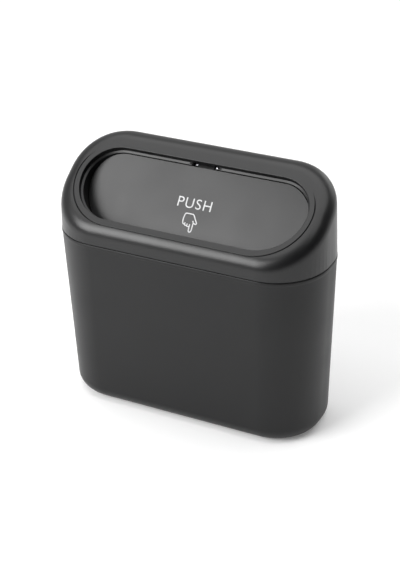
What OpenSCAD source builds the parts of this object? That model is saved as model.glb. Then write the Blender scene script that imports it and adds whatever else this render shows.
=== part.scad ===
// Small car trash bin: a tapered bucket with a clip behind it, a lift-off lid
// with a sloping top, and a sprung push flap set deep in the lid's oval mouth.
// X runs across the width, -Y is the front, +Z is up, and the origin is the middle of the foot.

/* [Bin] */
// Width at the rim
bin_w = 159.2; // [146:0.1:180]
// Depth at the rim, front to back
bin_d = 65.7; // [62:0.1:80]
// Corner radius at the rim, seen from above, as a share of half the depth
rim_share = 0.9224; // [0.8:0.0001:0.94]
// Height of the seam between the bin and its lid
seam_h = 104.2; // [80:0.2:140]
// Draw-in of each side from the rim to the foot
side_taper = 3.5; // [1:0.1:6]
// Wall thickness of the bin
bin_wall = 2; // [1.6:0.1:2.6]
// Thickness of the floor
floor_t = 2.4; // [1.8:0.1:4]
// Rounding between the walls and the foot
foot_fillet = 8.9; // [5:0.1:12]
// Distance from the foot's edge to the groove round its underside
foot_ring = 4; // [3:0.1:8]
// Width of that groove
groove_w = 2.4; // [1:0.1:4]
// Depth of that groove
groove_depth = 0.6; // [0.4:0.1:1]
// How far the bead below the seam stands proud
bead_out = 0.15; // [0.1:0.05:0.6]
// Height of that bead
bead_h = 2.4; // [1.6:0.1:4]
// Rounding of the rim's outer edge
rim_round = 0.6; // [0.3:0.1:1]

/* [Clip] */
// Width of the clip behind the bin
clip_w = 34; // [20:1:50]
// Length of the clip's leg below its bridge
clip_leg = 34; // [20:1:48]
// Gap between the rim and the leg
clip_gap = 5.4; // [5:0.1:8]
// Thickness of the clip
clip_t = 2.6; // [2:0.1:3.4]
// Depth of the clip's top below the seam
clip_below = 4; // [3.2:0.1:8]

/* [Lid] */
// Height above the seam at which the sloping top would meet the front
front_rise = 9.3; // [7:0.1:20]
// Slope of the top
slope = 34.7; // [30:0.1:38]
// Rounding of the top at the front and back
lid_fillet = 10.4; // [8:0.1:12]
// Rounding of the top at the ends, into which the other one runs
end_fillet = 8.2; // [7:0.1:11]
// Lean of the lid's sides towards its top
lid_draft = 1.5; // [0.1:0.1:3]
// Wall thickness of the lid
lid_wall = 2.2; // [1.8:0.1:2.6]
// Height of the rim that plugs into the bin
plug_h = 5; // [3:0.1:7]
// Thickness of that rim
plug_t = 1.6; // [1.2:0.1:2.2]
// Clearance between that rim and the bin
plug_gap = 0.5; // [0.4:0.05:0.8]
// Chamfer on the lid's lower edge, which shows as the seam
seam_chamfer = 0.5; // [0.2:0.05:0.6]

/* [Mouth] */
// Distance from the lid's side to the mouth
mouth_side = 12.2; // [11.6:0.1:20]
// Distance from the upper end of the slope to the mouth
mouth_back = 26.1; // [24.6:0.1:30]
// Distance from the lower end of the slope to the mouth
mouth_front = 8.3; // [8:0.1:12]
// Radius of the mouth's upper corners, as a share of its size up the slope
mouth_round = 0.44; // [0.36:0.01:0.49]
// Rounding of the mouth's edge
lip_r = 0.3; // [0.2:0.05:0.8]
// Distance from the mouth to the crease beside it
crease_side = 3.15; // [2.8:0.05:3.6]
// Distance from the mouth to the crease in front of it
crease_front = 3.85; // [3.4:0.05:4.4]
// Depth of that crease
crease_depth = 0.5; // [0.3:0.05:0.8]
// Half width of the crease at the surface, as a share of its depth
crease_open = 0.8; // [0.5:0.05:1]
// Place up the slope where the crease starts to fade
crease_fade = 0; // [-6:0.5:3]
// Place up the slope where the crease ends
crease_end = 9; // [6:0.5:11]

/* [Mouth frame] */
// Depth of the upright lip below the mouth's edge
lip_depth = 3; // [2.8:0.1:4]
// How far the sloping step below the lip comes in
step_in = 1.15; // [0.5:0.05:1.3]
// Height of that step
step_h = 0.6; // [0.4:0.05:1.6]
// Wall thickness of the collar round the flap
collar_wall = 1.6; // [1.2:0.1:1.9]
// Depth of the collar below the flap's top
collar_below = 2.8; // [2.6:0.1:4]
// Width of the flange beside the mouth
flange_side = 1.8; // [1.7:0.1:2.4]
// Width of the flange in front of the mouth
flange_front = 2.4; // [1.8:0.1:2.8]
// Width of the flange behind the mouth
flange_back = 5.2; // [4.8:0.1:5.6]
// Thickness of the flange
flange_t = 1.6; // [1.2:0.1:2]
// Gap between the flange and the lid
flange_gap = 0.05; // [0.02:0.01:0.1]
// Diameter of the lid's stakes, which go through the flange
stake_d = 1.8; // [1.4:0.1:2.2]
// Diameter of their flattened heads
stake_head = 3; // [2.6:0.1:3.4]
// Height of those heads
stake_head_h = 0.9; // [0.6:0.1:1.4]
// Diameter of the flange's ears round the front stakes
ear_d = 4.2; // [3.6:0.1:4.4]

/* [Flap] */
// Depth of the flap below the mouth's upper edge
flap_drop = 3.75; // [3.7:0.05:5]
// Angle between the flap and the sloping top
flap_tilt = 15.6; // [12:0.1:18]
// Thickness of the flap
flap_t = 2; // [1.8:0.1:2.2]
// Clearance round the flap
flap_gap = 0.3; // [0.2:0.05:0.9]
// Height of the ribs under the flap
rib_h = 2; // [1:0.1:3]
// Thickness of those ribs
rib_t = 1.4; // [1:0.1:2]
// Reach of the ledge that stops the flap
stop_reach = 1.9; // [1.6:0.1:2.6]
// Width of that ledge
stop_w = 44; // [20:1:70]
// Clearance between the flap and the ledge
stop_gap = 0.15; // [0.05:0.05:0.3]

/* [Hinge] */
// Diameter of the hinge pin
pin_d = 2; // [1.8:0.1:2.2]
// Distance of the pin behind the mouth's upper edge
pin_behind = 1.15; // [1:0.05:1.5]
// Depth of the pin below the flap's upper edge
pin_below = 3; // [2.8:0.05:3.3]
// Radial running clearance of the flap on the pin
pin_run = 0.06; // [0.03:0.01:0.1]
// Radial clearance of the pin in the lugs
pin_fit = 0.02; // [0.01:0.01:0.05]
// Diameter of the flap's knuckle
knuckle_d = 4.4; // [4.2:0.1:4.6]
// Width of the flap's knuckle
knuckle_w = 9.8; // [8:0.1:12]
// Thickness of each lug that holds the pin
lug_t = 2; // [1.4:0.1:3]
// Diameter of the lugs round the pin
lug_d = 4.6; // [4.2:0.1:4.8]
// How far the slot for the hinge passes each lug's inner face
slot_past_lug = 0.9; // [0.4:0.1:1.4]

/* [Springs] */
// Diameter of the spring wire
wire_d = 0.6; // [0.5:0.05:0.7]
// Radius of the coils, to the middle of the wire
coil_r = 1.75; // [1.6:0.05:1.9]
// Distance between turns
coil_pitch = 0.65; // [0.62:0.01:0.75]
// Full turns in each coil
coil_turns = 2; // [2:1:3]
// Clearance on both sides of each coil
coil_gap = 0.3; // [0.1:0.05:0.5]
// Length of the leg under the flap
long_leg = 11; // [8:0.5:16]
// Clearance between a leg and what it presses on
leg_gap = 0.05; // [0.02:0.01:0.1]

/* [Hidden] */

$fn = 64;
corner_steps = 15;
fillet_steps = 12;
coil_steps = 36;
wire_sides = 8;
cut = 1;
far = 400;

rim_r = rim_share * bin_d / 2;
front_h = seam_h + front_rise;
foot_edge = side_taper + foot_fillet;
plane_half = bin_d / 2 / cos(slope);
mouth_r = mouth_round * (2 * plane_half - mouth_back - mouth_front);
mouth_half = bin_w / 2 - mouth_side;
back_v = plane_half - mouth_back;
side_v = back_v - mouth_r;
mouth_front_r = side_v + plane_half - mouth_front;
front_v = side_v - mouth_front_r;
pin_v = back_v + pin_behind;
pin_n = -(flap_drop + pin_below);
coil_in = knuckle_w / 2 + coil_gap + wire_d / 2;
leg_out = [pin_v - long_leg, under_flap(pin_v - long_leg) - wire_d / 2 - leg_gap];
flange_top = -(lid_wall + flange_gap);
flange_low = flange_top - flange_t;
leg_up = [back_v + flange_back / 2 + cut, flange_low - wire_d / 2 - leg_gap];
coil_start = tangent_turn(leg_out, 1);
coil_end = tangent_turn(leg_up, -1) + 360 * coil_turns;
coil_out = coil_in + coil_pitch * (coil_end - coil_start) / 360;
lug_in = coil_out + wire_d / 2 + coil_gap;
lug_out = lug_in + lug_t;
slot_half = lug_in + slot_past_lug;
ribs_u = [for (share = [-0.62, -0.22, 0.22, 0.62]) share * mouth_half];
stake_out = collar_wall + stake_head / 2 + 2 * flange_gap;
back_stakes = [for (share = [-0.65, -0.32, 0.32, 0.65]) [share * mouth_half, back_v + stake_out]];
front_stakes = [for (side = [-1, 1]) [side * (mouth_half - mouth_front_r), side_v]
    + (mouth_front_r + stake_out) * [side * cos(45), -sin(45)]];

// Height of the sloping top over a place y
function top_z(y) = front_h + (y + bin_d / 2) * tan(slope);

// Draw-in of the bin's sides at height z
function taper_at(z) = side_taper * (1 - z / seam_h);

// Level of the flap's lower face at v, measured along the normal of the slope
function under_flap(v) = -flap_drop - (back_v - v) * tan(flap_tilt) - flap_t / cos(flap_tilt);

// Angle at which a straight leg that ends at a point touches the coil
function tangent_turn(point, way) =
    let (from_pin = point - [pin_v, pin_n])
    atan2(from_pin[1], from_pin[0]) + way * acos(coil_r / norm(from_pin));

// Unit vector at a share of the way from a to b, along the arc between them
function arc_between(a, b, share) =
    let (angle = acos(a * b))
    (a * sin((1 - share) * angle) + b * sin(share * angle)) / sin(angle);

// Direction and corner centre of each point round the bin's outline
function outline_stations() = [
    for (quarter = [0 : 3]) for (step = [0 : corner_steps])
    let (angle = 90 * (quarter + step / corner_steps))
    let (across = quarter == 0 || quarter == 3 ? 1 : -1)
    let (along = quarter < 2 ? 1 : -1)
    [[cos(angle), sin(angle)],
     [across * (bin_w / 2 - rim_r), along * (bin_d / 2 - rim_r)]]
];

// The outline drawn in by inset, as points
function outline(inset) = [for (s = outline_stations()) s[1] + (rim_r - inset) * s[0]];

// The same outline as a ring in space at height z
function level_ring(z, inset) = [for (p = outline(inset)) [p[0], p[1], z]];

// Solid through a list of rings that have the same number of points, from bottom to top
module skin(rings) {
    count = len(rings[0]);
    top = len(rings) - 1;
    sides = [
        for (k = [0 : top - 1]) for (i = [0 : count - 1])
        let (a = k * count + i, b = k * count + (i + 1) % count)
        each [[a, a + count, b + count], [a, b + count, b]]
    ];
    polyhedron(
        points = [for (ring = rings) each ring],
        faces = concat(
            [[for (i = [0 : count - 1]) i]],
            sides,
            [[for (i = [count - 1 : -1 : 0]) top * count + i]]),
        convexity = 6);
}

// Bucket form with rounded lower edge: list of [height, inset] above the fillet is added on top
module bucket(base_z, inset, fillet, upper) {
    skin([
        for (step = [0 : fillet_steps])
        let (angle = 90 * step / fillet_steps)
        let (z = base_z + fillet * (1 - cos(angle)))
        level_ring(z, inset + taper_at(z) + fillet * (1 - sin(angle))),
        for (level = upper) level_ring(level[0], level[1])
    ]);
}

// Rounding of the lid's top at a point of the outline
function top_fillet(s) = lid_fillet + (end_fillet - lid_fillet) * pow(s[0][0], 2);

// How far each fillet centre of the lid lies from its corner centre, seen from above
function centre_reach(s) =
    let (level = front_h + (s[1][1] + bin_d / 2) * tan(slope) - top_fillet(s) / cos(slope) - seam_h)
    (rim_r - top_fillet(s) / cos(lid_draft) - tan(lid_draft) * level)
        / (1 + tan(lid_draft) * tan(slope) * s[0][1]);

// Hood with leaning sides and a sloping top, drawn in all over by inset
module hood(inset, base_z) {
    normal = [0, -sin(slope), cos(slope)];
    fillets = [for (s = outline_stations()) top_fillet(s) - inset];
    centres = [
        for (s = outline_stations())
        let (p = s[1] + centre_reach(s) * s[0])
        [p[0], p[1], top_z(p[1]) - top_fillet(s) / cos(slope)]
    ];
    sides = [for (s = outline_stations())
        [s[0][0] * cos(lid_draft), s[0][1] * cos(lid_draft), sin(lid_draft)]];
    skin([
        level_ring(base_z, inset + (base_z - seam_h) * tan(lid_draft)),
        for (step = [0 : fillet_steps])
        [for (i = [0 : len(sides) - 1])
            centres[i] + fillets[i] * arc_between(sides[i], normal, step / fillet_steps)]
    ]);
}

// Ring between two insets of the bin's outline
module band(low, high, outer, inner) {
    translate([0, 0, low])
        linear_extrude(high - low)
            difference() {
                polygon(outline(outer));
                polygon(outline(inner));
            }
}

// Places children in the frame of the sloping top: X across, Y up the slope, Z out of it
module on_slope() {
    translate([0, 0, top_z(0)]) rotate([slope, 0, 0]) children();
}

// Places children in the frame of the flap: its upper edge is at Y 0 and its top face at Z 0
module on_flap() {
    on_slope() translate([0, back_v, -flap_drop]) rotate([flap_tilt, 0, 0]) children();
}

// Straight bar with round ends
module pill(half_w, r) {
    for (side = [-1, 1]) translate([side * (half_w - r), 0]) circle(r);
    square([2 * (half_w - r), 2 * r], center = true);
}

// Oval of the mouth, grown by the three margins, with wider corners at the front
module oval(side = 0, back = 0, front = 0) {
    half_w = mouth_half + side;
    back_r = mouth_r + back;
    front_r = mouth_front_r + front;
    translate([0, side_v]) {
        intersection() {
            pill(half_w, back_r);
            translate([-half_w - cut, 0]) square([2 * half_w + 2 * cut, back_r + cut]);
        }
        intersection() {
            pill(half_w, front_r);
            translate([-half_w - cut, -front_r - cut])
                square([2 * half_w + 2 * cut, front_r + cut]);
        }
    }
}

// Sweeps a profile round the oval: profile X points out of the oval, profile Y out of the slope
module sweep_oval(side = 0, back = 0, front = 0) {
    half_w = mouth_half + side;
    back_r = mouth_r + back;
    front_r = mouth_front_r + front;
    translate([0, side_v, 0]) {
        for (quarter = [0 : 3]) {
            r = quarter < 2 ? back_r : front_r;
            across = quarter == 0 || quarter == 3 ? 1 : -1;
            translate([across * (half_w - r), 0, 0])
                rotate([0, 0, 90 * quarter])
                    rotate_extrude(angle = 90) translate([r, 0]) children();
        }
        translate([-(half_w - back_r), back_r, 0])
            rotate([90, 0, 90]) linear_extrude(2 * (half_w - back_r)) children();
        translate([0, -front_r, 0]) mirror([0, 1, 0])
            translate([-(half_w - front_r), 0, 0])
                rotate([90, 0, 90]) linear_extrude(2 * (half_w - front_r)) children();
    }
}

// Places a profile drawn in the slope's Y and Z as a slab between two places along X
module across_slope(from, to) {
    translate([from, 0, 0]) rotate([90, 0, 90]) linear_extrude(to - from) children();
}

// Clip behind the bin: a bridge from the wall, a round shoulder, and a leg with a grip near its tip
module clip() {
    leg_y = bin_d / 2 + clip_gap;
    bridge_z = seam_h - clip_below;
    shoulder = clip_t + 2;
    root_y = bin_d / 2 - bin_wall / 2;
    translate([-clip_w / 2, 0, 0]) rotate([90, 0, 90]) linear_extrude(clip_w) {
        translate([root_y, bridge_z - clip_t])
            square([leg_y + clip_t - shoulder - root_y, clip_t]);
        translate([leg_y + clip_t - shoulder, bridge_z - shoulder])
            intersection() {
                difference() {
                    circle(shoulder);
                    circle(shoulder - clip_t);
                }
                square(shoulder);
            }
        translate([leg_y, bridge_z - clip_leg]) square([clip_t, clip_leg - shoulder]);
        translate([leg_y + clip_t / 2, bridge_z - clip_leg]) circle(d = clip_t);
        translate([leg_y + clip_t / 4, bridge_z - clip_leg + clip_t]) circle(d = clip_t);
    }
}

module bin_body() {
    color([0.13, 0.13, 0.14])
        difference() {
            union() {
                bucket(0, 0, foot_fillet, [
                    [seam_h - bead_h, taper_at(seam_h - bead_h)],
                    [seam_h - bead_h * 0.85, -bead_out * 0.7],
                    [seam_h - bead_h * 0.6, -bead_out],
                    for (angle = [0 : 22.5 : 90])
                    [seam_h - rim_round * (1 - sin(angle)), rim_round * (1 - cos(angle)) - bead_out]
                ]);
                clip();
            }
            bucket(floor_t, bin_wall, foot_fillet - bin_wall, [[seam_h + cut, bin_wall]]);
            band(-cut, groove_depth, foot_edge + foot_ring, foot_edge + foot_ring + groove_w);
        }
}

module lid_cover() {
    color([0.16, 0.16, 0.17])
        difference() {
            union() {
                difference() {
                    hood(0, seam_h);
                    hood(lid_wall, seam_h - cut);
                }
                band(seam_h - plug_h, seam_h + plug_t,
                    bin_wall + plug_gap, bin_wall + plug_gap + plug_t);
                band(seam_h, seam_h + plug_t, lid_wall / 2, bin_wall + plug_gap + plug_t);
                stakes(stake_d, 0, stake_head);
            }
            on_slope() {
                translate([0, 0, -lid_wall - cut]) linear_extrude(lid_wall + 2 * cut) oval();
                sweep_oval() lip_profile();
            }
            crease();
            seam_cut();
        }
}

// Stakes that hold the mouth frame: posts through its flange, with flattened heads below it
module stakes(post_d, grown, head_d) {
    on_slope()
        for (place = concat(back_stakes, front_stakes))
            translate([place[0], place[1], flange_low - flange_gap]) {
                cylinder(d = post_d + 2 * grown, h = flange_t + 2 * flange_gap + lid_wall / 2);
                translate([0, 0, -stake_head_h]) cylinder(d = head_d, h = stake_head_h);
            }
}

// What the rounding of the mouth's edge takes away, beside the edge at the origin
module lip_profile() {
    polygon(concat(
        [[-cut, cut], [lip_r, cut]],
        [for (angle = [0 : 22.5 : 90]) lip_r * [1 - sin(angle), cos(angle) - 1]],
        [[-cut, -lip_r]]));
}

// Crease beside and in front of the mouth, which fades out of the surface towards the back
module crease() {
    fade = atan(crease_depth / (crease_end - crease_fade));
    on_slope() {
        intersection() {
            translate([0, 0, -crease_depth]) crease_sweep();
            translate([-far / 2, crease_fade - far, -cut]) cube([far, far, 2 * cut]);
        }
        intersection() {
            translate([0, crease_end, 0]) rotate([fade, 0, 0]) translate([0, -crease_end, 0])
                crease_sweep();
            translate([-far / 2, crease_fade, -cut]) cube([far, far, 2 * cut]);
        }
    }
}

// Sharp groove with its lower edge at Z 0, swept round the mouth
module crease_sweep() {
    sweep_oval(crease_side, crease_side, crease_front)
        polygon([[0, 0], [2 * cut * crease_open, 2 * cut], [-2 * cut * crease_open, 2 * cut]]);
}

// Chamfer round the lid's lower edge
module seam_cut() {
    difference() {
        band(seam_h - cut, seam_h + seam_chamfer, -cut, seam_chamfer);
        skin([
            level_ring(seam_h - 2 * cut, seam_chamfer),
            level_ring(seam_h, seam_chamfer),
            level_ring(seam_h + seam_chamfer + 0.01, 0)
        ]);
    }
}

// Section of the lip, step and collar
module collar_profile() {
    deep = flap_drop + (back_v - front_v) * tan(flap_tilt) + collar_below + cut;
    polygon([
        [0, flange_top],
        [0, -lip_depth],
        [-step_in, -lip_depth - step_h],
        [-step_in, -deep],
        [collar_wall - step_in, -deep],
        [collar_wall - step_in, -lip_depth - step_h - collar_wall / 2],
        [collar_wall, -lip_depth - collar_wall / 2],
        [collar_wall, flange_top]
    ]);
}

// Lug that carries the pin, in the slope's Y and Z
module lug_profile() {
    translate([pin_v, pin_n]) circle(d = lug_d);
    translate([pin_v - pin_d, pin_n])
        square([pin_d + lug_d / 2, flange_low + flange_t / 2 - pin_n]);
}

// Round bar along the hinge's axis
module on_hinge(d, half_w) {
    on_slope() translate([-half_w, pin_v, pin_n]) rotate([0, 90, 0]) cylinder(d = d, h = 2 * half_w);
}

module mouth_frame() {
    color([0.17, 0.17, 0.18])
        difference() {
            union() {
                difference() {
                    on_slope() {
                        flange();
                        sweep_oval() collar_profile();
                    }
                    on_flap() translate([-far / 2, -far / 2, -far - collar_below]) cube(far);
                    on_slope() translate([-slot_half, side_v, -far])
                        cube([2 * slot_half, back_v + collar_wall + cut / 2 - side_v, far]);
                }
                on_slope()
                    for (side = [-1, 1])
                        across_slope(side * (lug_in + lug_out) / 2 - lug_t / 2,
                            side * (lug_in + lug_out) / 2 + lug_t / 2) lug_profile();
                stop_ledge();
            }
            on_hinge(pin_d + 2 * pin_fit, lug_out + cut);
            stakes(stake_d, flange_gap, stake_d);
        }
}

// Flange that lies against the underside of the lid's top
module flange() {
    translate([0, 0, flange_low])
        linear_extrude(flange_t)
            difference() {
                union() {
                    oval(flange_side, flange_back, flange_front);
                    for (place = front_stakes) translate(place) circle(d = ear_d);
                }
                oval(collar_wall / 2, collar_wall / 2, collar_wall / 2);
            }
}

// Ledge on the collar's front wall that holds the flap at its closed place
module stop_ledge() {
    wall_v = front_v + step_in;
    intersection() {
        on_slope() translate([-stop_w / 2, wall_v - collar_wall / 2, -far])
            cube([stop_w, stop_reach + collar_wall / 2, far]);
        on_flap() translate([-far / 2, -far / 2, stop_gap]) cube([far, far, stop_reach]);
    }
}

// Flap as a flat plate whose edge follows the collar, with ribs below and a knuckle behind
module push_flap() {
    color([0.2, 0.2, 0.21])
        difference() {
            union() {
                intersection() {
                    flap_prism(0);
                    on_flap() translate([-far / 2, -far / 2, -flap_t]) cube([far, far, flap_t]);
                }
                intersection() {
                    flap_prism(collar_wall);
                    on_flap() flap_ribs();
                }
                on_slope() across_slope(-knuckle_w / 2, knuckle_w / 2) knuckle_profile();
            }
            on_hinge(pin_d + 2 * pin_run, knuckle_w / 2 + cut);
        }
}

// Everything inside the flap's edge, drawn in further by inset
module flap_prism(inset) {
    margin = -step_in - flap_gap - inset;
    on_slope() translate([0, 0, -far / 2]) linear_extrude(far / 2) oval(margin, margin, margin);
}

// Ribs below the flap: four up the slope, which end short of the hinge, and one across
module flap_ribs() {
    rib_end = -long_leg / 2;
    for (u = ribs_u)
        translate([u - rib_t / 2, -far, -flap_t - rib_h])
            cube([rib_t, far + rib_end, rib_h + flap_t / 2]);
    translate([ribs_u[0], front_v - rib_t / 2, -flap_t - rib_h])
        cube([ribs_u[3] - ribs_u[0], rib_t, rib_h + flap_t / 2]);
}

// Knuckle and the arm that joins it to the flap, in the slope's Y and Z
module knuckle_profile() {
    rear_v = back_v - step_in - flap_gap;
    arm = knuckle_d - flap_t / 2;
    translate([pin_v, pin_n]) circle(d = knuckle_d);
    polygon([
        [pin_v, pin_n + knuckle_d / 2],
        [rear_v - flap_t / 4, under_flap(rear_v) + flap_t * 0.75],
        [rear_v - arm, under_flap(rear_v - arm) + flap_t / 4],
        [pin_v, pin_n - knuckle_d / 2]
    ]);
}

module hinge_pin() {
    color([0.7, 0.7, 0.72]) on_hinge(pin_d, lug_out);
}

// Middle line of a spring: a leg below the flap, the coil, and a leg up to the flange
function spring_path() = [
    [coil_in, leg_out[0], leg_out[1]],
    for (step = [0 : coil_steps])
    let (angle = coil_start + (coil_end - coil_start) * step / coil_steps)
    [coil_in + coil_pitch * (angle - coil_start) / 360,
     pin_v + coil_r * cos(angle), pin_n + coil_r * sin(angle)],
    [coil_out, leg_up[0], leg_up[1]]
];

// Round wire along a path that runs nearly square to X
module wire(path, d) {
    last = len(path) - 1;
    skin([
        for (k = [0 : last])
        let (run = path[min(k + 1, last)] - path[max(k - 1, 0)])
        let (ahead = run / norm(run))
        let (across = [1, 0, 0] - ahead[0] * ahead)
        let (side = across / norm(across))
        let (out = cross(ahead, side))
        [for (i = [0 : wire_sides - 1])
            let (angle = 360 * i / wire_sides)
            path[k] + d / 2 * (cos(angle) * side + sin(angle) * out)]
    ]);
}

module spring_right() {
    color([0.75, 0.75, 0.77]) on_slope() wire(spring_path(), wire_d);
}

module spring_left() {
    color([0.75, 0.75, 0.77]) mirror([1, 0, 0]) on_slope() wire(spring_path(), wire_d);
}

bin_body();
lid_cover();
mouth_frame();
push_flap();
hinge_pin();
spring_left();
spring_right();
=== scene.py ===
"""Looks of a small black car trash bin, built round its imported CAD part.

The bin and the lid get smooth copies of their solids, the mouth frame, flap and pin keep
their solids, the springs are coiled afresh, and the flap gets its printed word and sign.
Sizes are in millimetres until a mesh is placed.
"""

from __future__ import annotations

import logging
import math
from dataclasses import dataclass, field
from enum import Enum

import bmesh
import bpy
from mathutils import Matrix, Vector

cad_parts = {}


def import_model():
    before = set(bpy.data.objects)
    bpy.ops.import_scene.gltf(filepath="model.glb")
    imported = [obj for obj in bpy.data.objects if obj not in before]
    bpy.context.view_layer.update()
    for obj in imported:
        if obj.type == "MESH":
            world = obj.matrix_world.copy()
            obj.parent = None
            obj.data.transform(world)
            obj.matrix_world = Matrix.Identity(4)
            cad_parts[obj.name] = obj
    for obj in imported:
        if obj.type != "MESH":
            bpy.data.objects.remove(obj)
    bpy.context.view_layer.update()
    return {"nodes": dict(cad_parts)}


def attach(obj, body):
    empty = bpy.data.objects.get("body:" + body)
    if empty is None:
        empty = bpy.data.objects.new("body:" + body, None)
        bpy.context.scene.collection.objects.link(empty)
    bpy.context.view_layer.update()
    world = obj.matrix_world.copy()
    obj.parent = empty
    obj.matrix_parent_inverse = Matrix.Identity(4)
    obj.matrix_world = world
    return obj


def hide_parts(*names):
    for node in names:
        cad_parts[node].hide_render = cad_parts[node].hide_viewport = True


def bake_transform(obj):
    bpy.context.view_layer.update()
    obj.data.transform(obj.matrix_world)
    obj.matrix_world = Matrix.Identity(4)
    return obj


MM = 0.001
LOG = logging.getLogger("trash_bin")
Colour = tuple[float, float, float]
Point = tuple[float, float]
Span = tuple[float, float, float, float]

# Range in which most of a noise lies.
NOISE_RANGE = (0.3, 0.7)
# Sockets of a Mix node that mixes colours.
MIX_FIRST, MIX_SECOND, MIX_RESULT = 6, 7, 2
# Rays of a rounded normal.
BEVEL_SAMPLES = 4


class Side(Enum):
    """Side of the object, as seen from the front."""

    LEFT = -1
    RIGHT = 1


@dataclass(frozen=True)
class SlopePlane:
    """Frame of the lid's sloping top: X across, Y up the slope, Z out of it.

    Attributes:
        height: Height of the slope over the middle of the foot.
        slope: Angle of the slope in degrees.
        flap_edge: Place of the flap's upper edge along Y.
        flap_drop: Depth of that edge below the slope.
        flap_tilt: Angle between the flap and the slope in degrees.
    """

    height: float = 136.245
    slope: float = 34.7
    flap_edge: float = 13.859
    flap_drop: float = 3.75
    flap_tilt: float = 15.6

    def matrix(self) -> Matrix:
        """Finds the place of the slope.

        Returns:
            The matrix from millimetres of the slope's frame to metres of the row frame.
        """
        turn = Matrix.Rotation(math.radians(self.slope), 4, "X")
        lift = Matrix.Translation((0, 0, self.height))
        return Matrix.Scale(MM, 4) @ lift @ turn

    def flap_matrix(self) -> Matrix:
        """Finds the place of the flap, with its upper edge at Y 0 and its face at Z 0.

        Returns:
            The matrix from millimetres of the flap's frame to metres of the row frame.
        """
        edge = Matrix.Translation((0, self.flap_edge, -self.flap_drop))
        tilt = Matrix.Rotation(math.radians(self.flap_tilt), 4, "X")
        return self.matrix() @ edge @ tilt

    def under_flap(self, along: float, thickness: float) -> float:
        """Level of the flap's lower face.

        Args:
            along: Place up the slope.
            thickness: Thickness of the flap.

        Returns:
            The level along Z in the slope's frame.
        """
        tilt = math.radians(self.flap_tilt)
        drop = (self.flap_edge - along) * math.tan(tilt)
        return -self.flap_drop - drop - thickness / math.cos(tilt)


@dataclass
class NodeSheet:
    """Adds and joins the nodes of one tree.

    Attributes:
        tree: The tree that gets the nodes.
    """

    tree: bpy.types.NodeTree

    def add(self, kind: str, **values: object) -> bpy.types.Node:
        """Adds a node.

        Args:
            kind: Type name of the node, without its ShaderNode prefix.
            **values: Settings of the node by attribute name.

        Returns:
            The new node.
        """
        node = self.tree.nodes.new("ShaderNode" + kind)
        for name, value in values.items():
            setattr(node, name, value)
        return node

    def link(self, source: bpy.types.NodeSocket, target: bpy.types.NodeSocket) -> None:
        """Joins two sockets."""
        self.tree.links.new(source, target)

    def feed(self, target: bpy.types.NodeSocket, value: object) -> None:
        """Gives a socket its value.

        Args:
            target: The input socket.
            value: Another socket, or a plain value.
        """
        if isinstance(value, bpy.types.NodeSocket):
            self.link(value, target)
        else:
            target.default_value = value

    def maths(self, operation: str, first: object, second: object) -> bpy.types.NodeSocket:
        """Adds a Math node.

        Args:
            operation: The Math node's operation.
            first: Socket or number for its first input.
            second: Socket or number for its second input.

        Returns:
            Its output socket.
        """
        node = self.add("Math", operation=operation)
        self.feed(node.inputs[0], first)
        self.feed(node.inputs[1], second)
        return node.outputs[0]

    def scaled(self, value: bpy.types.NodeSocket, span: Span) -> bpy.types.NodeSocket:
        """Maps a value from one range to another, held inside the second.

        Args:
            value: The socket to map.
            span: Low and high of the first range, then of the second.

        Returns:
            The mapped value's socket.
        """
        node = self.add("MapRange")
        self.link(value, node.inputs["Value"])
        for place, number in enumerate(span, start=1):
            node.inputs[place].default_value = number
        return node.outputs["Result"]

    def noise(self, vector: bpy.types.NodeSocket, scale: object, detail: float,
              ) -> bpy.types.NodeSocket:
        """Adds a Noise Texture.

        Args:
            vector: Socket of the place in space.
            scale: Socket or number for its scale.
            detail: Its detail.

        Returns:
            Its factor's socket.
        """
        node = self.add("TexNoise")
        self.link(vector, node.inputs["Vector"])
        self.feed(node.inputs["Scale"], scale)
        node.inputs["Detail"].default_value = detail
        return node.outputs["Fac"]

    def blend(self, share: object, first: object, second: object) -> bpy.types.NodeSocket:
        """Mixes two colours.

        Args:
            share: Socket or number from 0, all first, to 1, all second.
            first: Socket or colour.
            second: Socket or colour.

        Returns:
            The mixed colour's socket.
        """
        node = self.add("Mix", data_type="RGBA")
        self.feed(node.inputs[0], share)
        self.feed(node.inputs[MIX_FIRST], first)
        self.feed(node.inputs[MIX_SECOND], second)
        return node.outputs[MIX_RESULT]

    def tint(self, share: object, first: Colour, second: Colour) -> bpy.types.NodeSocket:
        """Mixes two plain colours.

        Args:
            share: Socket or number from 0, all first, to 1, all second.
            first: Colour.
            second: Colour.

        Returns:
            The mixed colour's socket.
        """
        return self.blend(share, (*first, 1.0), (*second, 1.0))

    def rounded_normal(self, radius: float) -> bpy.types.NodeSocket:
        """Adds a normal that is rounded over sharp edges.

        Args:
            radius: Radius of the rounding in metres.

        Returns:
            The normal's socket.
        """
        node = self.add("Bevel", samples=BEVEL_SAMPLES)
        node.inputs["Radius"].default_value = radius
        return node.outputs["Normal"]

    def bump(self, height: bpy.types.NodeSocket, depth: float) -> bpy.types.Node:
        """Adds a Bump node.

        Args:
            height: Socket of the height.
            depth: Depth of the relief in metres.

        Returns:
            The node.
        """
        node = self.add("Bump")
        node.inputs["Strength"].default_value = 1.0
        node.inputs["Distance"].default_value = depth
        self.link(height, node.inputs["Height"])
        return node


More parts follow.
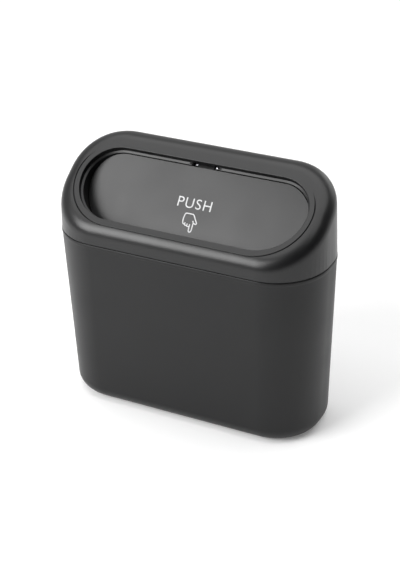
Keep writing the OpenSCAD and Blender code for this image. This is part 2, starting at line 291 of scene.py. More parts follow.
@dataclass
class GroupMaker:
    """Makes one shared shader node group with named sockets.

    Attributes:
        name: Name of the group.
        inputs: Default of each float input by name.
        outputs: Names of the float outputs.
    """

    name: str
    inputs: dict[str, float]
    outputs: tuple[str, ...]

    def start(self) -> tuple[bpy.types.NodeTree, bpy.types.Node, bpy.types.Node]:
        """Makes the empty group.

        Returns:
            The group, its input node and its output node.
        """
        tree = bpy.data.node_groups.new(self.name, "ShaderNodeTree")
        tree.interface.new_socket("Vector", in_out="INPUT", socket_type="NodeSocketVector")
        for name, default in self.inputs.items():
            made = tree.interface.new_socket(name, in_out="INPUT", socket_type="NodeSocketFloat")
            made.default_value = default
        for name in self.outputs:
            tree.interface.new_socket(name, in_out="OUTPUT", socket_type="NodeSocketFloat")
        return tree, tree.nodes.new("NodeGroupInput"), tree.nodes.new("NodeGroupOutput")


@dataclass
class SharedEffects:
    """Node groups that several finishes use, built once.

    A span maps the low and high of its source to the low and high of the result.

    Attributes:
        grains: Grains per metre, where a finish gives no number of its own.
        patches: Patches of other gloss per metre, where a finish gives none.
        pit_smoothness: How softly the pits of the grain run into each other.
        pit_share: Share of the pits in the height, the rest being finer noise.
        finer: How much finer that noise is than the pits.
        edge_radius: Radius of the rounded normal that finds the edges, in metres.
        edge_span: Likeness of the rounded and the true normal, to the mask.
        breaks: Breaks in the rubbed edges per metre.
        break_span: Noise, to how much of an edge is rubbed.
        upward_span: Upward part of the normal, to how much dust lies.
        clouds: Clouds of thin dust per metre.
        cloud_span: Noise, to the thickness of the thin dust.
        specks: Specks of dust per metre.
        speck_span: Noise, to the specks.
        grain: Fine even grain of a moulded surface.
        edges: Where an edge is rubbed bright.
        dust: Where dust settles.
    """

    grains: float = 2600.0
    patches: float = 38.0
    pit_smoothness: float = 0.6
    pit_share: float = 0.6
    finer: float = 2.1
    edge_radius: float = 0.0007
    edge_span: Span = (0.995, 0.86, 0.0, 1.0)
    breaks: float = 180.0
    break_span: Span = (0.38, 0.62, 0.25, 1.0)
    upward_span: Span = (0.25, 0.95, 0.0, 1.0)
    clouds: float = 55.0
    cloud_span: Span = (0.35, 0.75, 0.1, 0.5)
    specks: float = 900.0
    speck_span: Span = (0.72, 0.78, 0.0, 1.0)
    grain: bpy.types.NodeTree = field(init=False)
    edges: bpy.types.NodeTree = field(init=False)
    dust: bpy.types.NodeTree = field(init=False)

    def __post_init__(self) -> None:
        """Builds the three groups."""
        self.grain = self.make_grain()
        self.edges = self.make_edges()
        self.dust = self.make_dust()

    def make_grain(self) -> bpy.types.NodeTree:
        """Makes the grain.

        Returns:
            A group with the outputs Height and Gloss, both about 0 to 1.
        """
        tree, ins, outs = GroupMaker(
            "moulded_grain", {"Grains": self.grains, "Patches": self.patches},
            ("Height", "Gloss")).start()
        sheet = NodeSheet(tree)
        pits = sheet.add("TexVoronoi", feature="SMOOTH_F1")
        pits.inputs["Smoothness"].default_value = self.pit_smoothness
        sheet.link(ins.outputs["Vector"], pits.inputs["Vector"])
        sheet.link(ins.outputs["Grains"], pits.inputs["Scale"])
        finer = sheet.maths("MULTIPLY", ins.outputs["Grains"], self.finer)
        fine = sheet.noise(ins.outputs["Vector"], finer, detail=3.0)
        coarse_part = sheet.maths("MULTIPLY", pits.outputs["Distance"], self.pit_share)
        fine_part = sheet.maths("MULTIPLY", fine, 1.0 - self.pit_share)
        sheet.link(sheet.maths("ADD", coarse_part, fine_part), outs.inputs["Height"])
        broad = sheet.noise(ins.outputs["Vector"], ins.outputs["Patches"], detail=4.0)
        sheet.link(broad, outs.inputs["Gloss"])
        return tree

    def make_edges(self) -> bpy.types.NodeTree:
        """Makes the rubbed edges, from how far a rounded normal leaves the true one.

        Returns:
            A group with the output Mask, 0 on faces and up to 1 on edges.
        """
        tree, ins, outs = GroupMaker("rubbed_edges", {"Breaks": self.breaks}, ("Mask",)).start()
        sheet = NodeSheet(tree)
        rounded = sheet.rounded_normal(self.edge_radius)
        true = sheet.add("NewGeometry")
        dot = sheet.add("VectorMath", operation="DOT_PRODUCT")
        sheet.link(rounded, dot.inputs[0])
        sheet.link(true.outputs["Normal"], dot.inputs[1])
        edge = sheet.scaled(dot.outputs["Value"], self.edge_span)
        patches = sheet.noise(ins.outputs["Vector"], ins.outputs["Breaks"], detail=3.0)
        broken = sheet.scaled(patches, self.break_span)
        sheet.link(sheet.maths("MULTIPLY", edge, broken), outs.inputs["Mask"])
        return tree

    def make_dust(self) -> bpy.types.NodeTree:
        """Makes the dust, which lies on what faces up.

        Returns:
            A group with the output Mask, 0 to 1.
        """
        tree, ins, outs = GroupMaker("settled_dust", {"Specks": self.specks}, ("Mask",)).start()
        sheet = NodeSheet(tree)
        true = sheet.add("NewGeometry")
        parts = sheet.add("SeparateXYZ")
        sheet.link(true.outputs["Normal"], parts.inputs[0])
        up = sheet.scaled(parts.outputs["Z"], self.upward_span)
        clouds = sheet.noise(ins.outputs["Vector"], self.clouds, detail=5.0)
        film = sheet.scaled(clouds, self.cloud_span)
        specks = sheet.noise(ins.outputs["Vector"], ins.outputs["Specks"], detail=1.0)
        spots = sheet.scaled(specks, self.speck_span)
        both = sheet.maths("ADD", film, spots)
        sheet.link(sheet.maths("MULTIPLY", up, both), outs.inputs["Mask"])
        return tree


@dataclass
class MaterialStart:
    """New material with its shader, ready for its nodes.

    Attributes:
        name: Name of the material.
        material: The new material.
        sheet: Its sheet of nodes.
        surface: Its Principled BSDF.
        place: Socket of the Object coordinates.
    """

    name: str
    material: bpy.types.Material = field(init=False)
    sheet: NodeSheet = field(init=False)
    surface: bpy.types.Node = field(init=False)
    place: bpy.types.NodeSocket = field(init=False)

    def __post_init__(self) -> None:
        """Makes the material."""
        self.material = bpy.data.materials.new(self.name)
        self.material.use_nodes = True
        self.sheet = NodeSheet(self.material.node_tree)
        self.surface = self.material.node_tree.nodes["Principled BSDF"]
        self.place = self.sheet.add("TexCoord").outputs["Object"]

    def effect(self, group: bpy.types.NodeTree, **values: float) -> bpy.types.Node:
        """Places a shared node group.

        Args:
            group: The group.
            **values: Numbers of its inputs by name.

        Returns:
            The group's node.
        """
        node = self.sheet.add("Group", node_tree=group)
        self.sheet.link(self.place, node.inputs["Vector"])
        for name, value in values.items():
            node.inputs[name].default_value = value
        return node


@dataclass(frozen=True)
class PlasticFinish:
    """Satin moulded plastic.

    Attributes:
        name: Name of the material.
        colour: Colour of the plastic.
        roughness: Middle of its roughness.
        spread: How far the roughness changes over the surface.
        grains: Grains per metre.
        grain_depth: Depth of the grain in metres.
        edge_radius: How far sharp edges look rounded, in metres.
        rubbed: How much rubbed edges show, from 0 to 1.
        rub_gain: How many times lighter the plastic is where it is rubbed.
        rub_polish: How far rubbing lowers the roughness, as a share of its spread.
        dusty: How much dust shows, from 0 to 1.
        dust_colour: Colour of the dust.
        shine: Level of the clear reflection, 0.5 for plain plastic.
    """

    name: str
    colour: Colour = (0.0052, 0.0053, 0.0057)
    roughness: float = 0.42
    spread: float = 0.03
    grains: float = 2600.0
    grain_depth: float = 0.000009
    edge_radius: float = 0.00018
    rubbed: float = 0.3
    rub_gain: float = 2.6
    rub_polish: float = 0.5
    dusty: float = 0.012
    dust_colour: Colour = (0.42, 0.40, 0.37)
    shine: float = 0.5

    def material(self, shared: SharedEffects) -> bpy.types.Material:
        """Makes the material.

        Args:
            shared: The shared node groups.

        Returns:
            The new material.
        """
        start = MaterialStart(self.name)
        sheet, surface = start.sheet, start.surface
        surface.inputs["Specular IOR Level"].default_value = self.shine
        grain = start.effect(shared.grain, Grains=self.grains)
        edges = start.effect(shared.edges)
        dust = start.effect(shared.dust)
        lighter = tuple(min(1.0, part * self.rub_gain) for part in self.colour)
        rub = sheet.maths("MULTIPLY", edges.outputs["Mask"], self.rubbed)
        worn = sheet.tint(rub, self.colour, lighter)
        grey = sheet.maths("MULTIPLY", dust.outputs["Mask"], self.dusty)
        sheet.link(sheet.blend(grey, worn, (*self.dust_colour, 1.0)), surface.inputs["Base Color"])
        low, high = self.roughness - self.spread, self.roughness + self.spread
        gloss = sheet.scaled(grain.outputs["Gloss"], (*NOISE_RANGE, low, high))
        polish = sheet.maths("MULTIPLY", edges.outputs["Mask"], -self.rub_polish * self.spread)
        sheet.link(sheet.maths("ADD", gloss, polish), surface.inputs["Roughness"])
        relief = sheet.bump(grain.outputs["Height"], self.grain_depth)
        sheet.link(sheet.rounded_normal(self.edge_radius), relief.inputs["Normal"])
        sheet.link(relief.outputs["Normal"], surface.inputs["Normal"])
        return start.material


@dataclass(frozen=True)
class SteelFinish:
    """Drawn steel rod or wire, brushed along X.

    Attributes:
        name: Name of the material.
        colour: Colour of the steel.
        roughness: Middle of its roughness.
        smoother: How far the drawn lines lower the roughness.
        rougher: How far they raise it.
        stretch: Scale of the lines along X, Y and Z.
        lines: Drawn lines per metre.
        line_depth: Depth of the lines in metres.
        stains: Stains per metre.
        stain_span: Noise, to the strength of the stains.
        stain_shade: Brightness of a stain as a share of the steel's.
    """

    name: str
    colour: Colour = (0.60, 0.60, 0.62)
    roughness: float = 0.28
    smoother: float = 0.06
    rougher: float = 0.1
    stretch: tuple[float, float, float] = (0.05, 1.0, 1.0)
    lines: float = 9000.0
    line_depth: float = 0.000004
    stains: float = 700.0
    stain_span: Span = (0.4, 0.7, 0.0, 0.6)
    stain_shade: float = 0.72

    def material(self, shared: SharedEffects) -> bpy.types.Material:
        """Makes the material.

        Args:
            shared: The shared node groups.

        Returns:
            The new material.
        """
        start = MaterialStart(self.name)
        sheet, surface = start.sheet, start.surface
        surface.inputs["Metallic"].default_value = 1.0
        drawn = sheet.add("Mapping")
        drawn.inputs["Scale"].default_value = self.stretch
        sheet.link(start.place, drawn.inputs["Vector"])
        lines = sheet.noise(drawn.outputs["Vector"], self.lines, detail=4.0)
        grain = start.effect(shared.grain, Patches=self.stains)
        dull = tuple(part * self.stain_shade for part in self.colour)
        stain = sheet.scaled(grain.outputs["Gloss"], self.stain_span)
        sheet.link(sheet.tint(stain, self.colour, dull), surface.inputs["Base Color"])
        low, high = self.roughness - self.smoother, self.roughness + self.rougher
        sheet.link(sheet.scaled(lines, (*NOISE_RANGE, low, high)), surface.inputs["Roughness"])
        relief = sheet.bump(lines, self.line_depth)
        sheet.link(relief.outputs["Normal"], surface.inputs["Normal"])
        return start.material


@dataclass(frozen=True)
class InkFinish:
    """Pad-printed white ink on the grain of the plastic.

    Attributes:
        name: Name of the material.
        colour: Colour of the ink.
        thin_shade: Brightness of thin ink as a share of the full ink's.
        patches: Thin patches per metre.
        cover_span: Noise, to how well the ink covers.
        roughness: Low and high of its roughness.
        depth: Depth of the grain in metres.
    """

    name: str
    colour: Colour = (0.66, 0.665, 0.67)
    thin_shade: float = 0.86
    patches: float = 420.0
    cover_span: Span = (0.35, 0.65, 0.0, 1.0)
    roughness: Point = (0.42, 0.55)
    depth: float = 0.000008

    def material(self, shared: SharedEffects) -> bpy.types.Material:
        """Makes the material.

        Args:
            shared: The shared node groups.

        Returns:
            The new material.
        """
        start = MaterialStart(self.name)
        sheet, surface = start.sheet, start.surface
        grain = start.effect(shared.grain, Patches=self.patches)
        thin = tuple(part * self.thin_shade for part in self.colour)
        cover = sheet.scaled(grain.outputs["Gloss"], self.cover_span)
        sheet.link(sheet.tint(cover, thin, self.colour), surface.inputs["Base Color"])
        gloss = sheet.scaled(grain.outputs["Gloss"], (*NOISE_RANGE, *self.roughness))
        sheet.link(gloss, surface.inputs["Roughness"])
        relief = sheet.bump(grain.outputs["Height"], self.depth)
        sheet.link(relief.outputs["Normal"], surface.inputs["Normal"])
        return start.material


def shown_object(name: str, mesh: bpy.types.Mesh) -> bpy.types.Object:
    """Puts a mesh in the scene.

    Args:
        name: Name of the new object.
        mesh: Its mesh, in the row frame.

    Returns:
        The new object, at the origin.
    """
    made = bpy.data.objects.new(name, mesh)
    bpy.context.scene.collection.objects.link(made)
    return made


def finished_mesh(name: str, made: bmesh.types.BMesh) -> bpy.types.Mesh:
    """Turns a finished bmesh into a mesh and frees it.

    Args:
        name: Name of the mesh.
        made: The bmesh.

    Returns:
        The new mesh.
    """
    mesh = bpy.data.meshes.new(name)
    made.to_mesh(mesh)
    made.free()
    return mesh


def dress(piece: bpy.types.Object, material: bpy.types.Material) -> None:
    """Gives a whole piece one material."""
    piece.data.materials.clear()
    piece.data.materials.append(material)


def mark_creases(made: bmesh.types.BMesh, crease: float) -> None:
    """Shades a mesh smooth up to an angle.

    Args:
        made: The mesh.
        crease: Angle in degrees past which an edge stays sharp.
    """
    limit = math.radians(crease)
    for face in made.faces:
        face.smooth = True
    for edge in made.edges:
        edge.smooth = edge.is_manifold and edge.calc_face_angle() < limit


@dataclass
class SmoothShell:
    """Smooth copy of a solid whose round faces are flat facets.

    Attributes:
        node: The CAD node.
        body: The body that it rides on.
        slot: The record's material slot, not used.
        finish: Its finish.
        crease: Angle in degrees past which an edge stays sharp.
        same_place: Distance in metres below which corners are one.
        large_faces: Weight of large faces in the shading, 50 for no extra weight.
    """

    node: str
    body: str
    slot: str
    finish: PlasticFinish
    crease: float = 28.0
    same_place: float = 0.000002
    large_faces: int = 80

    def build(self, nodes: dict[str, bpy.types.Object], shared: SharedEffects,
              ) -> bpy.types.Object:
        """Builds the copy and puts it in the node's place.

        Args:
            nodes: CAD nodes by name.
            shared: The shared node groups.

        Returns:
            The new piece.
        """
        made = bmesh.new()
        made.from_mesh(nodes[self.node].data)
        bmesh.ops.remove_doubles(made, verts=made.verts, dist=self.same_place)
        bmesh.ops.dissolve_degenerate(made, edges=made.edges, dist=self.same_place)
        mark_creases(made, self.crease)
        name = self.node + "_shell"
        piece = shown_object(name, finished_mesh(name, made))
        even = piece.modifiers.new("even_shading", "WEIGHTED_NORMAL")
        even.keep_sharp = True
        even.weight = self.large_faces
        dress(piece, self.finish.material(shared))
        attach(piece, self.body)
        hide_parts(self.node)
        return piece


@dataclass
class CarriedNode:
    """CAD node that stays, with a better material.

    Attributes:
        node: The CAD node.
        finish: Its finish.
    """

    node: str
    finish: PlasticFinish | SteelFinish

    def build(self, nodes: dict[str, bpy.types.Object], shared: SharedEffects,
              ) -> bpy.types.Object:
        """Dresses the node.

        Args:
            nodes: CAD nodes by name.
            shared: The shared node groups.

        Returns:
            The node's object.
        """
        piece = nodes[self.node]
        dress(piece, self.finish.material(shared))
        return piece


@dataclass
class FlapSpring:
    """Torsion spring beside the flap's knuckle, coiled round the hinge pin.

    Attributes:
        side: Side of the knuckle.
        plane: Frame of the slope.
        pin_along: Place of the pin up the slope.
        pin_level: Level of the pin.
        coil_radius: Radius of the coil, to the middle of the wire.
        wire: Diameter of the wire.
        pitch: Distance between turns.
        turns: Full turns.
        first_turn: Distance of the first turn from the middle of the part.
        leg: Length of the leg under the flap.
        flap_thickness: Thickness of the flap.
        upper_leg: Place and level of the end of the other leg.
        clearance: Gap between a leg and what it presses on.
        wire_sides: Corners round the wire.
        steps_per_turn: Steps of the wire in a full turn.
        crease: Angle in degrees past which an edge stays sharp.
        colour: Colour of the bright wire.
        roughness: Middle of its roughness.
    """

    side: Side
    plane: SlopePlane
    pin_along: float = 15.009
    pin_level: float = -6.75
    coil_radius: float = 1.75
    wire: float = 0.6
    pitch: float = 0.65
    turns: int = 2
    first_turn: float = 5.5
    leg: float = 11.0
    flap_thickness: float = 2.0
    upper_leg: Point = (17.459, -4.2)
    clearance: float = 0.05
    wire_sides: int = 16
    steps_per_turn: int = 48
    crease: float = 50.0
    colour: Colour = (0.66, 0.66, 0.68)
    roughness: float = 0.22

    def touch_angle(self, end: Point, way: int) -> float:
        """Angle at which a straight leg touches the coil.

        Args:
            end: Place and level of the leg's end.
            way: 1 or -1, for the side on which it leaves the coil.

        Returns:
            The angle in radians.
        """
        along, level = end[0] - self.pin_along, end[1] - self.pin_level
        open_angle = math.acos(self.coil_radius / math.hypot(along, level))
        return math.atan2(level, along) + way * open_angle

    def build(self, shared: SharedEffects) -> bpy.types.Object:
        """Coils the spring round the hinge pin and draws out its legs.

        Args:
            shared: The shared node groups.

        Returns:
            The new piece.
        """
        leg_along = self.pin_along - self.leg
        below = self.plane.under_flap(leg_along, self.flap_thickness)
        low_end = (leg_along, below - self.wire / 2 - self.clearance)
        start = self.touch_angle(low_end, 1)
        end = self.touch_angle(self.upper_leg, -1) + math.tau * self.turns
        run = self.pitch * (end - start) / math.tau
        made = bmesh.new()
        ring = bmesh.ops.create_circle(
            made, cap_ends=True, radius=self.wire / 2, segments=self.wire_sides)["verts"]
        centre = Vector((self.first_turn,
                         self.pin_along + self.coil_radius * math.cos(start),
                         self.pin_level + self.coil_radius * math.sin(start)))
        bmesh.ops.rotate(made, verts=ring, cent=(0, 0, 0), matrix=Matrix.Rotation(start, 3, "X"))
        bmesh.ops.translate(made, verts=ring, vec=centre)
        first = list(made.faces)
        steps = round(self.steps_per_turn * (end - start) / math.tau)
        spun = bmesh.ops.spin(
            made, geom=first, cent=(self.first_turn, self.pin_along, self.pin_level),
            axis=(1, 0, 0), dvec=(run / steps, 0, 0), angle=end - start, steps=steps)
        last = [part for part in spun["geom_last"] if isinstance(part, bmesh.types.BMFace)]
        self.draw_leg(made, last, Vector((self.first_turn + run, *self.upper_leg)))
        begin = min((face for face in made.faces if len(face.verts) == self.wire_sides),
                    key=lambda face: (face.calc_center_median() - centre).length)
        self.draw_leg(made, [begin], Vector((self.first_turn, *low_end)))
        bmesh.ops.scale(made, verts=made.verts, vec=(self.side.value, 1, 1))
        bmesh.ops.transform(made, verts=made.verts, matrix=self.plane.matrix())
        bmesh.ops.recalc_face_normals(made, faces=made.faces)
        mark_creases(made, self.crease)
        name = "spring_" + self.side.name.lower()
        piece = shown_object(name + "_wire", finished_mesh(name + "_wire", made))
        steel = SteelFinish(name + "_steel", self.colour, self.roughness)
        dress(piece, steel.material(shared))
        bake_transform(piece)
        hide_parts(name)
        return piece

    def draw_leg(self, made: bmesh.types.BMesh, caps: list[bmesh.types.BMFace],
                 end: Vector) -> None:
        """Draws the wire out straight to a point.

        Args:
            made: The spring's mesh.
            caps: The wire's end face.
            end: Middle of the leg's end.
        """
        centre = caps[0].calc_center_median()
        drawn = bmesh.ops.extrude_face_region(made, geom=caps)
        moved = [part for part in drawn["geom"] if isinstance(part, bmesh.types.BMVert)]
        bmesh.ops.translate(made, verts=moved, vec=end - centre)
        bmesh.ops.delete(made, geom=[cap for cap in caps if cap.is_valid], context="FACES_ONLY")


@dataclass
class PrintedSign:
    """Word and pointing hand printed on the flap.

    Attributes:
        plane: Frame of the slope.
        word: The operating word.
        letter_size: Size of its letters before they are fitted.
        letter_space: Space between them, 1 for the font's own.
        letter_offset: How far their outlines move out, below 0 for thinner strokes.
        word_top: Place of its upper edge along the flap.
        word_size: Width and height of the word.
        hand_top: Place of the hand's upper edge along the flap.
        stroke: Width of the hand's lines.
        hand_size: Width and height of the hand as shares of its drawing's.
        across: Place of the print's middle across the flap.
        film: Thickness of the ink.
        same_place: Distance below which corners are one.
        crease: Angle in degrees past which an edge stays sharp.
        steps: Steps of a curve between two of its points.
        outline: Points of the hand's outline across and along the flap.
        creases: Points of the lines between its fingers.
    """

    plane: SlopePlane
    word: str = "PUSH"
    letter_size: float = 8.0
    letter_space: float = 1.12
    letter_offset: float = -0.03
    word_top: float = -18.9
    word_size: Point = (20.2, 5.7)
    hand_top: float = -27.2
    stroke: float = 0.68
    hand_size: Point = (0.97, 0.94)
    across: float = -0.3
    film: float = 0.04
    same_place: float = 0.002
    crease: float = 40.0
    steps: int = 6
    outline: tuple[Point, ...] = (
        (-3.4, -0.4), (0.0, -0.4), (1.2, -0.5), (2.0, -1.6), (3.0, -3.4), (4.1, -4.9),
        (4.3, -5.6), (3.7, -6.0), (2.7, -5.7), (2.2, -5.4), (2.2, -7.0), (2.2, -9.6),
        (2.0, -10.7), (1.3, -11.1), (0.6, -10.7), (0.4, -9.6), (0.4, -8.2), (0.0, -7.9),
        (-0.8, -8.1), (-1.2, -7.7), (-1.6, -7.5), (-2.3, -7.6), (-2.8, -7.1), (-3.3, -6.9),
        (-4.0, -6.7), (-4.3, -5.6), (-4.4, -4.0), (-4.2, -2.2), (-3.9, -0.9))
    creases: tuple[tuple[Point, ...], ...] = (
        ((0.4, -8.0), (0.4, -7.2), (0.3, -6.4)),
        ((-1.25, -7.6), (-1.2, -6.9), (-1.2, -6.3)),
        ((-2.85, -7.1), (-2.7, -6.5), (-2.7, -5.9)),
        ((2.2, -5.5), (1.9, -4.7), (1.7, -4.2)))

    def build(self, shared: SharedEffects) -> list[bpy.types.Object]:
        """Prints the word and the hand.

        Args:
            shared: The shared node groups.

        Returns:
            The two new pieces.
        """
        ink = InkFinish("white_ink").material(shared)
        pieces = [self.build_word(), self.build_hand()]
        for piece in pieces:
            piece.data.transform(self.plane.flap_matrix())
            dress(piece, ink)
            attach(piece, "flap")
        return pieces

    def curve_mesh(self, name: str, curve: bpy.types.Curve) -> bpy.types.Object:
        """Turns a curve or text into a mesh piece with outward faces.

        Args:
            name: Name of the piece.
            curve: The curve or text.

        Returns:
            The new piece.
        """
        holder = shown_object(name + "_line", curve)
        depsgraph = bpy.context.evaluated_depsgraph_get()
        depsgraph.update()
        mesh = bpy.data.meshes.new_from_object(holder.evaluated_get(depsgraph))
        bpy.data.objects.remove(holder)
        made = bmesh.new()
        made.from_mesh(mesh)
        bmesh.ops.remove_doubles(made, verts=made.verts, dist=self.same_place)
        bmesh.ops.recalc_face_normals(made, faces=made.faces)
        mark_creases(made, self.crease)
        made.to_mesh(mesh)
        made.free()
        mesh.name = name
        return shown_object(name, mesh)

    def build_word(self) -> bpy.types.Object:
        """Builds the word, its lower face just inside the flap.

        Returns:
            The new piece, in the flap's frame.
        """
        text = bpy.data.curves.new("flap_word", "FONT")
        text.body = self.word
        text.size = self.letter_size
        text.space_character = self.letter_space
        text.offset = self.letter_offset
        text.extrude = self.film
        text.resolution_u = self.steps
        piece = self.curve_mesh("flap_word", text)
        corners = [Vector(corner) for corner in piece.bound_box]
        low = Vector(min(corner[axis] for corner in corners) for axis in range(3))
        high = Vector(max(corner[axis] for corner in corners) for axis in range(3))
        size = high - low
        middle = (low + high) / 2
        fit = Matrix.Diagonal((self.word_size[0] / size.x, self.word_size[1] / size.y, 1, 1))
        down = Matrix.Translation((self.across, self.word_top - self.word_size[1] / 2, 0))
        piece.data.transform(down @ fit @ Matrix.Translation(-middle))
        return piece

    def build_hand(self) -> bpy.types.Object:
        """Builds the hand from flattened strokes.

        Returns:
            The new piece, in the flap's frame.
        """
        lines = bpy.data.curves.new("flap_hand", "CURVE")
        lines.dimensions = "3D"
        lines.bevel_depth = self.stroke / 2
        lines.bevel_resolution = 3
        lines.resolution_u = self.steps
        lines.use_fill_caps = True
        for points, closed in [(self.outline, True), *((line, False) for line in self.creases)]:
            spline = lines.splines.new("NURBS")
            spline.points.add(len(points) - 1)
            for place, (across, along) in zip(spline.points, points):
                place.co = (self.across + self.hand_size[0] * across,
                            self.hand_top + self.hand_size[1] * along, 0, 1)
            spline.order_u = 3
            spline.use_cyclic_u = closed
            spline.use_endpoint_u = not closed
        piece = self.curve_mesh("flap_hand", lines)
        piece.data.transform(Matrix.Diagonal((1, 1, 2 * self.film / self.stroke, 1)))
        return piece


@dataclass(frozen=True)
class PhotoCamera:
    """Camera at the photograph's viewing angle.

    Attributes:
        azimuth: Angle round the part in degrees, 0 in front of it.
        elevation: Angle above the horizon in degrees.
        roll: Turn of the camera about its own axis in degrees.
        distance: Distance from the target in metres.
        target: Point that the camera looks at, in metres.
        lens: Focal length in millimetres.
        sensor: Width of the sensor in millimetres.
        shift: Shift of the frame across and up.
        clip: Nearest and farthest distance that it sees, in metres.
    """

    azimuth: float = 27.6
    elevation: float = 30.1
    roll: float = -1.7
    distance: float = 0.808
    target: tuple[float, float, float] = (0.0, 0.0, 0.064)
    lens: float = 90.69
    sensor: float = 36.0
    shift: Point = (0.0026, 0.0263)
    clip: Point = (0.01, 60.0)

    def place(self) -> bpy.types.Object:
        """Makes the camera and gives it to the scene.

        Returns:
            The camera's object.
        """
        turn, tip = math.radians(self.azimuth), math.radians(self.elevation)
        back = Vector((math.sin(turn) * math.cos(tip), -math.cos(turn) * math.cos(tip),
                       math.sin(tip)))
        right = Vector((math.cos(turn), math.sin(turn), 0))
        level = Matrix((right, back.cross(right), back)).transposed().to_4x4()
        spot = Matrix.Translation(Vector(self.target) + back * self.distance)
        data = bpy.data.cameras.new("photo_camera")
        data.lens = self.lens
        data.sensor_width = self.sensor
        data.shift_x, data.shift_y = self.shift
        data.clip_start, data.clip_end = self.clip
        camera = bpy.data.objects.new("photo_camera", data)
        bpy.context.scene.collection.objects.link(camera)
        camera.matrix_world = spot @ level @ Matrix.Rotation(math.radians(self.roll), 4, "Z")
        bpy.context.scene.camera = camera
        return camera


@dataclass(frozen=True)
class SoftBox:
    """Oblong soft lamp that looks at the part.

    Attributes:
        name: Name of the lamp.
        direction: Direction in which the lamp lies, seen from the part.
        distance: Its distance in metres.
        size: Its width and height in metres.
        radiance: Its brightness, where a white floor in full light has about 1.
    """

    name: str
    direction: tuple[float, float, float]
    distance: float
    size: Point
    radiance: float

    def place(self, aim: Vector) -> bpy.types.Object:
        """Makes the lamp.

        Args:
            aim: Point that it looks at.

        Returns:
            The lamp's object.
        """
        data = bpy.data.lights.new(self.name, "AREA")
        data.shape = "RECTANGLE"
        data.size, data.size_y = self.size
        data.energy = self.radiance * math.pi * self.size[0] * self.size[1]
        lamp = bpy.data.objects.new(self.name, data)
        bpy.context.scene.collection.objects.link(lamp)
        away = Vector(self.direction).normalized()
        lamp.location = aim + away * self.distance
        lamp.rotation_euler = away.to_track_quat("Z", "Y").to_euler()
        return lamp


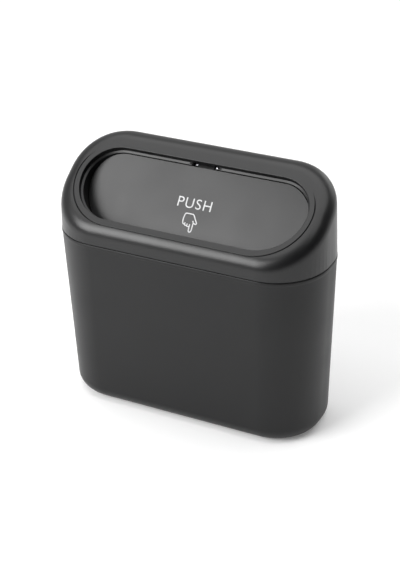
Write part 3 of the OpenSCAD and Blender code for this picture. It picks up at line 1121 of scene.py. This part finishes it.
@dataclass
class Studio:
    """Pale floor, soft lamps, grey surroundings and the camera.

    Attributes:
        floor_colour: Colour of the floor.
        floor_shade: Brightness of its darker clouds as a share of that colour's.
        floor_clouds: Clouds per metre.
        floor_roughness: Roughness of the floor.
        floor_shine: Level of its clear reflection.
        floor_radius: Radius of the floor in metres.
        floor_sides: Corners of its round edge.
        glow_reach: Distances from the part in metres between which its glow grows.
        glow: Light that it adds to itself near the part and far from it, where the lamps
            don't reach, as a camera or gloss sees it.
        aim: Point that the lamps look at, in metres.
        boxes: The lamps.
        behind: Weight of the direction behind the part in the surroundings' brightness.
        left: Weight of the direction to its left.
        world_span: The weighed direction, to the brightness of the surroundings.
    """

    floor_colour: Colour = (0.88, 0.88, 0.88)
    floor_shade: float = 0.985
    floor_clouds: float = 3.0
    floor_roughness: float = 0.75
    floor_shine: float = 0.1
    floor_radius: float = 8.0
    floor_sides: int = 96
    glow_reach: Point = (0.5, 1.6)
    glow: Point = (0.16, 0.5)
    aim: tuple[float, float, float] = (0.0, 0.0, 0.07)
    boxes: tuple[SoftBox, ...] = (
        SoftBox("key_box", (-0.47, -0.70, 0.54), 1.20, (0.74, 0.68), 9.0),
        SoftBox("top_box", (0.00, 0.08, 1.00), 1.30, (2.00, 1.25), 2.0),
        SoftBox("back_box", (0.30, 0.90, 0.35), 1.30, (0.80, 0.60), 1.2),
    )
    behind: float = 0.8
    left: float = 0.6
    world_span: Span = (-0.5, 0.8, 0.04, 0.65)

    def build(self) -> None:
        """Builds the floor, lamps, surroundings and camera."""
        self.build_floor()
        self.build_world()
        for box in self.boxes:
            box.place(Vector(self.aim))
        PhotoCamera().place()

    def build_floor(self) -> None:
        """Builds the round floor below the part."""
        made = bmesh.new()
        bmesh.ops.create_circle(
            made, cap_ends=True, radius=self.floor_radius, segments=self.floor_sides)
        bmesh.ops.recalc_face_normals(made, faces=made.faces)
        floor = shown_object("studio_floor", finished_mesh("studio_floor", made))
        start = MaterialStart("pale_floor")
        sheet, surface = start.sheet, start.surface
        surface.inputs["Roughness"].default_value = self.floor_roughness
        surface.inputs["Specular IOR Level"].default_value = self.floor_shine
        darker = tuple(part * self.floor_shade for part in self.floor_colour)
        cloud = sheet.noise(start.place, self.floor_clouds, detail=3.0)
        sheet.link(sheet.tint(cloud, darker, self.floor_colour), surface.inputs["Base Color"])
        path = sheet.add("LightPath")
        seen = sheet.maths("MAXIMUM", path.outputs["Is Camera Ray"], path.outputs["Is Glossy Ray"])
        seen = sheet.maths("MAXIMUM", seen, path.outputs["Is Transmission Ray"])
        glow = sheet.add("Emission")
        away = sheet.add("VectorMath", operation="LENGTH")
        sheet.link(start.place, away.inputs[0])
        level = sheet.scaled(away.outputs["Value"], (*self.glow_reach, *self.glow))
        sheet.link(sheet.maths("MULTIPLY", seen, level), glow.inputs["Strength"])
        both = sheet.add("AddShader")
        sheet.link(surface.outputs[0], both.inputs[0])
        sheet.link(glow.outputs[0], both.inputs[1])
        end = start.material.node_tree.nodes["Material Output"]
        sheet.link(both.outputs[0], end.inputs["Surface"])
        dress(floor, start.material)

    def build_world(self) -> None:
        """Builds the surroundings, bright behind and on the left, dark at the camera's side."""
        world = bpy.data.worlds.new("studio_room")
        bpy.context.scene.world = world
        world.use_nodes = True
        sheet = NodeSheet(world.node_tree)
        parts = sheet.add("SeparateXYZ")
        sheet.link(sheet.add("TexCoord").outputs["Generated"], parts.inputs[0])
        behind = sheet.maths("MULTIPLY", parts.outputs["Y"], self.behind)
        left = sheet.maths("MULTIPLY", parts.outputs["X"], -self.left)
        level = sheet.scaled(sheet.maths("ADD", behind, left), self.world_span)
        room = world.node_tree.nodes["Background"]
        room.inputs["Color"].default_value = (1.0, 1.0, 1.0, 1.0)
        sheet.link(level, room.inputs["Strength"])


@dataclass
class TrashBin:
    """The whole part: bin, lid, mouth frame, flap and its hinge.

    Attributes:
        plane: Frame of the lid's slope.
        shared: The shared node groups.
    """

    plane: SlopePlane = field(default_factory=SlopePlane)
    shared: SharedEffects = field(default_factory=SharedEffects)

    def build(self, nodes: dict[str, bpy.types.Object]) -> list[bpy.types.Object]:
        """Builds and dresses every piece.

        Args:
            nodes: CAD nodes by name.

        Returns:
            The pieces.
        """
        shells = (
            SmoothShell("bin_body", "bin", "bin_plastic",
                        PlasticFinish("bin_plastic_satin", roughness=0.42, shine=0.34)),
            SmoothShell("lid_cover", "lid", "lid_plastic",
                        PlasticFinish("lid_plastic_satin", roughness=0.33, shine=0.47)),
        )
        carried = (
            CarriedNode("mouth_frame",
                        PlasticFinish("frame_plastic_satin", roughness=0.36, shine=0.38)),
            CarriedNode("push_flap", PlasticFinish("flap_plastic_satin", roughness=0.40)),
            CarriedNode("hinge_pin", SteelFinish("pin_steel_drawn")),
        )
        pieces = [part.build(nodes, self.shared) for part in (*shells, *carried)]
        pieces += [FlapSpring(side, self.plane).build(self.shared) for side in Side]
        pieces += PrintedSign(self.plane).build(self.shared)
        return pieces


def main() -> None:
    """Builds the part and its studio."""
    logging.basicConfig(level=logging.INFO, format="%(message)s")
    bpy.ops.wm.read_factory_settings(use_empty=True)
    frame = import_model()
    bpy.context.scene.view_settings.view_transform = "Standard"
    for piece in TrashBin().build(frame["nodes"]):
        LOG.info("%s: %d faces", piece.name, len(piece.data.polygons))
    Studio().build()


if __name__ == "__main__":
    main()
